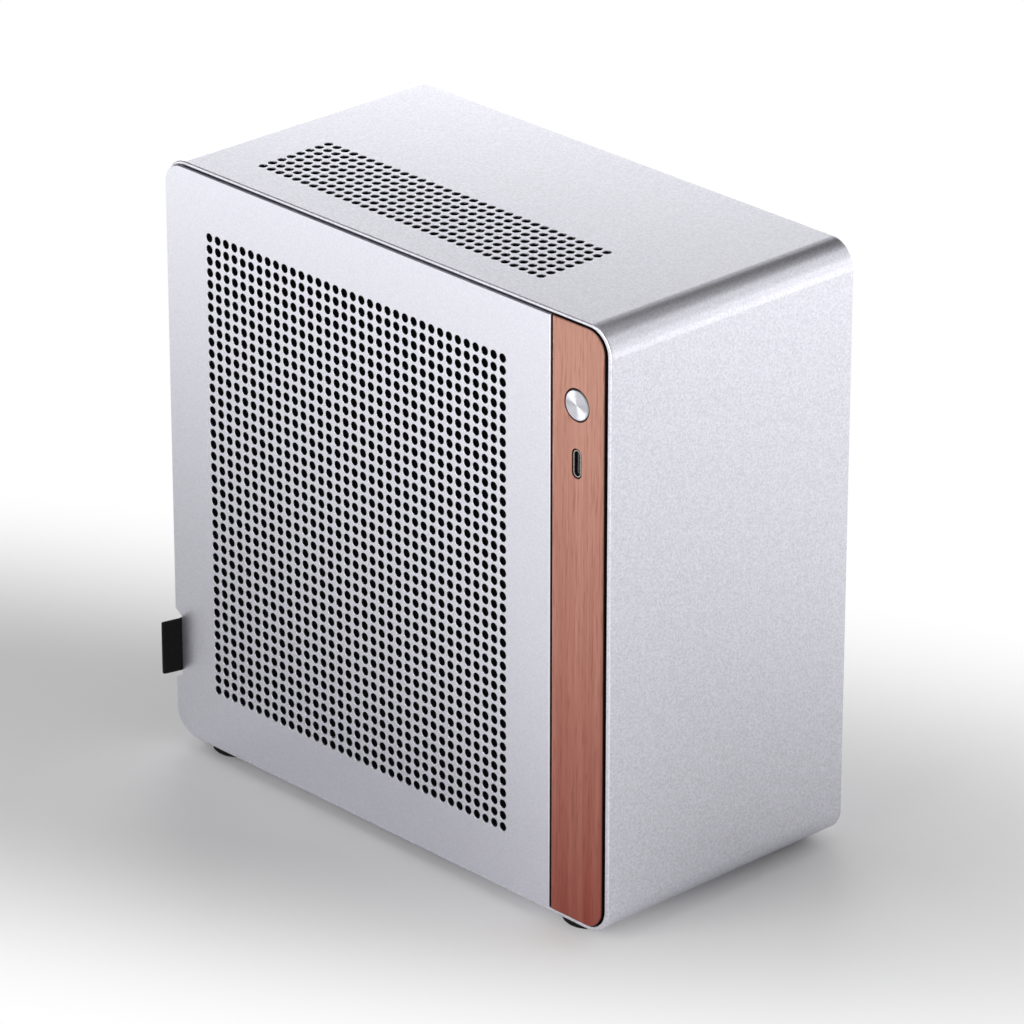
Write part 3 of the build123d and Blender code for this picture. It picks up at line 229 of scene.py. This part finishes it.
# %% Plain metals from one table
METALS = {
    # name: (dark, light, grain across and along in mm, roughness from and to, pieces)
    "zinc_plated_steel": ("#8f9396", "#b9bdc0", (3.0, 3.0), (0.28, 0.42),
                          ("psu_case", "psu_cover", "port_shield", "cooler_bracket", "foot_screws",
                           "board_screws", "cooler_screws", "psu_screws", "finger_guard",
                           "left_studs", "right_studs")),
    "nickel_plated_steel": ("#a5a3a0", "#c2c0bc", (0.6, 0.6), (0.22, 0.34),
                            ("rear_ports", "port_shell", "processor")),
    "bright_brass": ("#b08d4a", "#d2b06a", (1.0, 1.0), (0.20, 0.32),
                     ("inlet_pins", "standoffs")),
    "milled_copper": ("#a9603f", "#cd8a66", (0.4, 12.0), (0.22, 0.36), ("cooler_base",)),
    "extruded_aluminium": ("#b4b7ba", "#d6d8da", (0.5, 20.0), (0.30, 0.45),
                           ("cooler_fins", "board_heatsinks")),
}
for name, (dark, light, (across, along), (smooth, dull), pieces) in METALS.items():
    metal, tree, shader, place = new_finish(name, Metallic=1.0)
    drawn = add(tree, "Mapping", {"Vector": place,
                                  "Scale": (1 / across / MM, 1 / across / MM, 1 / along / MM)})
    grain = add(tree, "TexNoise", {"Vector": drawn.outputs["Vector"], "Scale": 1.0, "Detail": 3.0})
    tone = add(tree, "ValToRGB", {"Fac": grain.outputs["Fac"]}, stops=((0.3, dark), (0.7, light)))
    rough = add(tree, "MapRange", {"Value": grain.outputs["Fac"], "To Min": smooth, "To Max": dull})
    tree.links.new(tone.outputs["Color"], shader.inputs["Base Color"])
    tree.links.new(rough.outputs["Result"], shader.inputs["Roughness"])
    paint(metal, *pieces)
    print(name, "on", len(pieces), "nodes")

# %% [markdown]
# ## Black coats, plastics and rubber
# Powder coat has a faint orange-peel, moulded plastic a spark-eroded grain, rubber is dull, the
# filter is a tight black nylon weave, coloured far darker than black nylon is, as painted shade
# for the holes in front of it. Their recipe is a dark colour, a grain that moves the tone a little
# and a bump of that grain's depth.

# %% Dark matt finishes from one table
DARKS = {
    # name: (dark, light, grain in mm, roughness, specular level, grain depth in mm, pieces)
    "black_powder_coat": ("#17171a", "#242428", 0.9, 0.48, 0.5, 0.10,
                          ("chassis_frame", "board_tray", "rear_panel")),
    "moulded_black_plastic": ("#121214", "#1d1d20", 0.5, 0.50, 0.4, 0.05,
                              ("button_housing", "switch_body", "switch_plunger", "cpu_socket",
                               "memory_slots", "expansion_slot", "power_sockets", "port_cores",
                               "cooler_fan_frame", "psu_fan_frame", "mains_inlet", "rocker_frame",
                               "psu_rocker", "snap_clips", "solid_state_drive")),
    "fan_plastic": ("#1a1a1d", "#26262a", 0.8, 0.38, 0.5, 0.04,
                    ("cooler_fan_rotor", "psu_fan_rotor")),
    "plug_tongue_plastic": ("#2e2f33", "#3c3d42", 0.3, 0.45, 0.5, 0.03, ("port_tongue",)),
    "soft_black_rubber": ("#08080a", "#101012", 0.8, 0.80, 0.2, 0.08, ("feet",)),
    # Partly painted shade: a black weave, coloured far darker than black nylon so the holes read black.
    "black_filter_weave_painted_shade": ("#020203", "#060607", 0.4, 0.95, 0.05, 0.10,
                           ("filter_left", "filter_right", "filter_top")),
    "braided_sleeve": ("#0c0c0d", "#202022", 1.1, 0.65, 0.4, 0.30,
                       ("main_cable", "processor_cable", "front_cable")),
    "ferrite_and_foil": ("#2a2b2e", "#4a4c50", 2.0, 0.45, 0.5, 0.05, ("board_parts",)),
}
RELIEF = 0.35                # bump strength, the same for all
for name, (dark, light, size, roughness, shine, depth, pieces) in DARKS.items():
    coat, tree, shader, place = new_finish(name, Roughness=roughness,
                                           **{"Specular IOR Level": shine})
    grain = add(tree, "TexNoise", {"Vector": place, "Scale": 1 / size / MM, "Detail": 2.0})
    tone = add(tree, "ValToRGB", {"Fac": grain.outputs["Fac"]}, stops=((0.3, dark), (0.7, light)))
    relief = add(tree, "Bump", {"Height": grain.outputs["Fac"], "Strength": RELIEF,
                                "Distance": depth * MM})
    tree.links.new(tone.outputs["Color"], shader.inputs["Base Color"])
    tree.links.new(relief.outputs["Normal"], shader.inputs["Normal"])
    paint(coat, *pieces)
    print(name, "on", len(pieces), "nodes")

# %% [markdown]
# ## Circuit boards
# A board is glass cloth under dark solder mask, with copper tracks that show as slightly paler
# lines and small bright pads. The tracks are the edges of one set of Voronoi cells, the pads are
# the middles of another.

# %% Solder mask with tracks and pads
TRACK_STEP, PAD_STEP = 3.2 * MM, 5.0 * MM
mask, tree, shader, place = new_finish("solder_mask_on_copper", Roughness=0.38)
tracks = add(tree, "TexVoronoi", {"Vector": place, "Scale": 1 / TRACK_STEP},
             feature="DISTANCE_TO_EDGE", distance="EUCLIDEAN")
pads = add(tree, "TexVoronoi", {"Vector": place, "Scale": 1 / PAD_STEP},
           feature="F1", distance="EUCLIDEAN")
lines = add(tree, "ValToRGB", {"Fac": tracks.outputs["Distance"]},
            stops=((0.03, "#1d3a30"), (0.07, "#0d1a17")))
dots = add(tree, "ValToRGB", {"Fac": pads.outputs["Distance"]},
           stops=((0.14, "#ffffff"), (0.18, "#000000")))
soldered = add(tree, "Mix", {0: dots.outputs["Color"], 6: lines.outputs["Color"],
                             7: linear("#9a9c98")}, data_type="RGBA")
tree.links.new(soldered.outputs[2], shader.inputs["Base Color"])
paint(mask, "mainboard", "front_boards", "memory_sticks", "psu_circuit")
print("tracks every", TRACK_STEP / MM, "mm, pads every", PAD_STEP / MM, "mm")

# %% [markdown]
# ## Pull tags
# Each side panel is pulled off by a loop of woven ribbon that sticks out of a notch. A ribbon is a
# flat rounded section carried along a path: out of the notch, round a tight fold, and back. Outside
# the panel the loop leans a little to the rear, as a used tag does. The surface has two parameters,
# the length along the path and the angle round the section, and is worked out as whole arrays. Its
# UV map is in metres, so the weave keeps its thread spacing.

# %% The ribbon's path and section
TAG_PLY = 0.62 * MM          # one layer of ribbon
TAG_FOLD = 1.6 * MM          # the folded tag, over both layers
TAG_STEPS, TAG_SIDES = 96, 56
TAG_SHORT = 2.0 * MM         # the fold ends this far inside the solid's end
TAG_LEAN = 0.25              # rearwards, for each length outwards
THREAD = 0.7 * MM            # drawn coarse enough to show; real threads are about 0.2 mm
SQUARENESS = 0.25            # power on sine and cosine: 1 is an ellipse, 0 a rectangle
SELVEDGE = 0.006             # ripple of the woven edges, as a share of the half width


def ribbon_path(x_root, x_face, x_out, y_near, y_far, count):
    """Out along X at y_near, a half circle, back at y_far; beyond x_face, y grows by the lean."""
    r = (y_far - y_near) / 2
    run = abs(x_out - x_root) - r
    s = np.linspace(0, 2 * run + math.pi * r, count)
    turn = np.clip((s - run) / r, 0, math.pi)
    out = np.where(s < run, s, np.where(s > run + math.pi * r, 2 * run + math.pi * r - s, run))
    x = x_root + np.sign(x_out - x_root) * (out + r * np.sin(turn))
    y = y_near + r - r * np.cos(turn) + TAG_LEAN * np.maximum(0, np.abs(x) - abs(x_face))
    return s, x, y


def ribbon(name, x_root, x_face, x_out, y_near, y_far, z_low, z_high):
    """Carry a rounded flat section along the path: centre + normal * thickness + height along Z."""
    s, x, y = ribbon_path(x_root, x_face, x_out, y_near, y_far, TAG_STEPS)
    dx, dy = np.gradient(x), np.gradient(y)
    size = np.hypot(dx, dy)
    nx, ny = -dy / size, dx / size
    a = np.linspace(0, 2 * math.pi, TAG_SIDES, endpoint=False)
    flat = np.sign(np.cos(a)) * np.abs(np.cos(a)) ** SQUARENESS
    thick = np.sign(np.sin(a)) * np.abs(np.sin(a)) ** SQUARENESS
    selvedge = 1 + SELVEDGE * np.sin(2 * math.pi * s / THREAD)[:, None] * (np.abs(flat) > 0.9)
    half = TAG_PLY / 2
    px = x[:, None] + half * nx[:, None] * thick
    py = y[:, None] + half * ny[:, None] * thick
    pz = (z_low + z_high) / 2 + (z_high - z_low) / 2 * flat * selvedge
    points = np.stack([px, py, pz], -1).reshape(-1, 3)
    i, j = np.meshgrid(np.arange(TAG_STEPS - 1), np.arange(TAG_SIDES), indexing="ij")
    k = (j + 1) % TAG_SIDES
    here, ahead = i * TAG_SIDES, (i + 1) * TAG_SIDES
    quads = np.stack([here + j, ahead + j, ahead + k, here + k], -1)
    faces = quads.reshape(-1, 4).tolist()
    last = (TAG_STEPS - 1) * TAG_SIDES
    faces += [list(range(TAG_SIDES)), list(range(last + TAG_SIDES - 1, last - 1, -1))]
    mesh = bpy.data.meshes.new(name)
    mesh.from_pydata(points.tolist(), [], faces)
    uv = np.stack([np.repeat(s, TAG_SIDES), points[:, 2]], -1)
    corner = np.zeros(len(mesh.loops), np.int32)
    mesh.loops.foreach_get("vertex_index", corner)
    mesh.uv_layers.new(name="thread_metres").data.foreach_set("uv", uv[corner].ravel())
    mesh.polygons.foreach_set("use_smooth", np.ones(len(mesh.polygons), bool))
    mesh.update()
    piece = bpy.data.objects.new(name, mesh)
    bpy.context.scene.collection.objects.link(piece)
    return piece, float(np.hypot(np.diff(x), np.diff(y)).sum())


# %% Woven polyester, and the two tags
weave, tree, shader, _ = new_finish("woven_black_polyester", Roughness=0.8,
                                    **{"Specular IOR Level": 0.2})
cloth = add(tree, "UVMap", uv_map="thread_metres").outputs["UV"]
warp = add(tree, "TexWave", {"Vector": cloth, "Scale": WAVE / THREAD}, bands_direction="X")
weft = add(tree, "TexWave", {"Vector": cloth, "Scale": WAVE / THREAD}, bands_direction="Y")
over = add(tree, "Math", {0: warp.outputs["Fac"], 1: weft.outputs["Fac"]}, operation="MULTIPLY")
tone = add(tree, "ValToRGB", {"Fac": over.outputs["Value"]},
           stops=((0.0, "#040405"), (1.0, "#131315")))
relief = add(tree, "Bump", {"Height": over.outputs["Value"], "Strength": 0.5, "Distance": 0.1 * MM})
tree.links.new(tone.outputs["Color"], shader.inputs["Base Color"])
tree.links.new(relief.outputs["Normal"], shader.inputs["Normal"])
TAGS = (
    # outwards along X, body, CAD tag, panel
    (-1, "left_cover", "left_tag", "left_panel"),
    (1, "right_cover", "right_tag", "right_panel"),
)
for side, body, node, panel in TAGS:
    low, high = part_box(node)
    panel_low, panel_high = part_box(panel)
    x_root, x_face, x_end = ((high.x, panel_low.x, low.x) if side < 0
                             else (low.x, panel_high.x, high.x))
    x_out = x_end - side * (TAG_SHORT + TAG_PLY / 2)
    y_far = high.y - TAG_PLY / 2
    y_near = high.y - TAG_FOLD + TAG_PLY / 2
    loop, length = ribbon(node + "_ribbon", x_root, x_face, x_out, y_near, y_far, low.z, high.z)
    loop.data.materials.append(weave)
    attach(loop, body)
    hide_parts(node)
    print(loop.name, "on", body, "cut length in mm:", round(length / MM, 1))

# %% [markdown]
# ## Studio
# The picture was taken in a pale studio: a white table, a bright low surround that the metal
# mirrors, and a ring of soft lamps. The table is lit by the lamps and takes the shadow. Away from
# the object it fades to pure white, for the lens and for every mirroring surface alike; the patch
# that stays shaded is an oval. Lamps are placed by the direction they shine from, their distance,
# and their size.

# %% Floor and surround
scene = bpy.context.scene
scene.view_settings.view_transform = "Standard"
FLOOR_HALF = 6.0
PATCH_AT = (-0.05, 0.08, 0.0)
PATCH_TURN = (0.0, 0.0, math.radians(-60.0))
PATCH_STRETCH = (1.2, 0.40, 1.0)     # long from rear left to front right
WHITE_FROM, WHITE_FULL = 0.13, 0.48  # metres from the patch's middle, before the stretch
floor_mesh = bpy.data.meshes.new("table_top")
edge = FLOOR_HALF * np.array([[-1, -1, 0], [1, -1, 0], [1, 1, 0], [-1, 1, 0]])
floor_mesh.from_pydata(edge.tolist(), [], [(0, 1, 2, 3)])
floor = bpy.data.objects.new("table_top", floor_mesh)
scene.collection.objects.link(floor)
laminate, tree, shader, place = new_finish("white_table_laminate", Roughness=0.6)
shader.inputs["Base Color"].default_value = linear("#ececec")
patch = add(tree, "Mapping", {"Vector": place, "Location": PATCH_AT, "Rotation": PATCH_TURN,
                              "Scale": PATCH_STRETCH}, vector_type="TEXTURE")
away = add(tree, "VectorMath", {0: patch.outputs["Vector"]}, operation="LENGTH")
share = add(tree, "MapRange", {"Value": away.outputs["Value"], "From Min": WHITE_FROM,
                               "From Max": WHITE_FULL}, interpolation_type="SMOOTHSTEP")
path = add(tree, "LightPath").outputs
mirrored = add(tree, "Math", {0: path["Is Glossy Ray"], 1: path["Is Transmission Ray"]},
               operation="ADD")
looked_at = add(tree, "Math", {0: path["Is Camera Ray"], 1: mirrored.outputs["Value"]},
                operation="ADD")
part = add(tree, "Math", {0: looked_at.outputs["Value"], 1: share.outputs["Result"]},
           operation="MULTIPLY", use_clamp=True)
white = add(tree, "Emission", {"Color": (1.0, 1.0, 1.0, 1.0), "Strength": 1.0})
blend = add(tree, "MixShader", {0: part.outputs["Value"], 1: shader.outputs["BSDF"],
                                2: white.outputs["Emission"]})
tree.links.new(blend.outputs["Shader"], tree.nodes["Material Output"].inputs["Surface"])
floor_mesh.materials.append(laminate)

world = bpy.data.worlds.new("studio_surround")
world.use_nodes = True
tree = world.node_tree
tree.nodes.clear()
direction = add(tree, "TexCoord").outputs["Generated"]
height = add(tree, "SeparateXYZ", {"Vector": direction}).outputs["Z"]
glow = add(tree, "ValToRGB", {"Fac": height}, stops=((0.06, "#959595"), (0.22, "#595959")))
sky = add(tree, "Background", {"Color": glow.outputs["Color"], "Strength": 1.0})
add(tree, "OutputWorld", {"Surface": sky.outputs["Background"]})
scene.world = world

# %% Lamps
LAMPS = {
    # name: (azimuth, elevation, watts); azimuth 0 is the front, 90 the right
    "front_low": (0.0, 8.0, 0.08),
    "front_right_low": (45.0, 8.0, 0.30),
    "front_right_mid": (45.0, 30.0, 0.36),
    "front_right_high": (45.0, 55.0, 0.12),
    "right_low": (90.0, 8.0, 0.80),
    "rear_right_low": (135.0, 8.0, 0.98),
    "rear_right_mid": (135.0, 30.0, 0.30),
    "rear_left_low": (225.0, 8.0, 0.22),
    "left_low": (270.0, 8.0, 1.40),
    "left_mid": (270.0, 30.0, 0.68),
    "front_left_low": (315.0, 8.0, 0.15),
    "overhead": (0.0, 90.0, 0.45),
}
LAMP_AWAY, LAMP_WIDE, LAMP_TALL = 0.6, 0.40, 0.35      # metres
AIM = Vector((0.0, 0.0, 0.1))                          # about the middle of the object
for name, (azimuth, elevation, watts) in LAMPS.items():
    lamp = bpy.data.lights.new(name, "AREA")
    lamp.shape, lamp.size, lamp.size_y, lamp.energy = "RECTANGLE", LAMP_WIDE, LAMP_TALL, watts
    a, e = math.radians(azimuth), math.radians(elevation)
    back = Vector((math.sin(a) * math.cos(e), -math.cos(a) * math.cos(e), math.sin(e)))
    holder = bpy.data.objects.new(name, lamp)
    holder.location = AIM + back * LAMP_AWAY
    holder.rotation_euler = back.to_track_quat("Z", "Y").to_euler()
    holder.visible_camera = False
    scene.collection.objects.link(holder)
print(len(LAMPS), "lamps")

# %% [markdown]
# ## Camera
# The picture was taken with a long lens from the front left and above. Its place and direction
# were worked out from the two fields of holes, whose spacing is known.

# %% Camera
CAMERA_AT = Vector((-1.3054, -1.3803, 0.9536))
CAMERA_TO = Vector((0.62753, 0.66187, -0.41004))
SENSOR, LENS = 36.0, 228.2                             # mm
camera = bpy.data.objects.new("camera", bpy.data.cameras.new("camera"))
camera.location = CAMERA_AT
camera.rotation_mode = "QUATERNION"
camera.rotation_quaternion = CAMERA_TO.to_track_quat("-Z", "Y")
camera.data.sensor_width, camera.data.lens = SENSOR, LENS
camera.data.clip_start, camera.data.clip_end = 0.1, 50.0
scene.collection.objects.link(camera)
scene.camera = camera
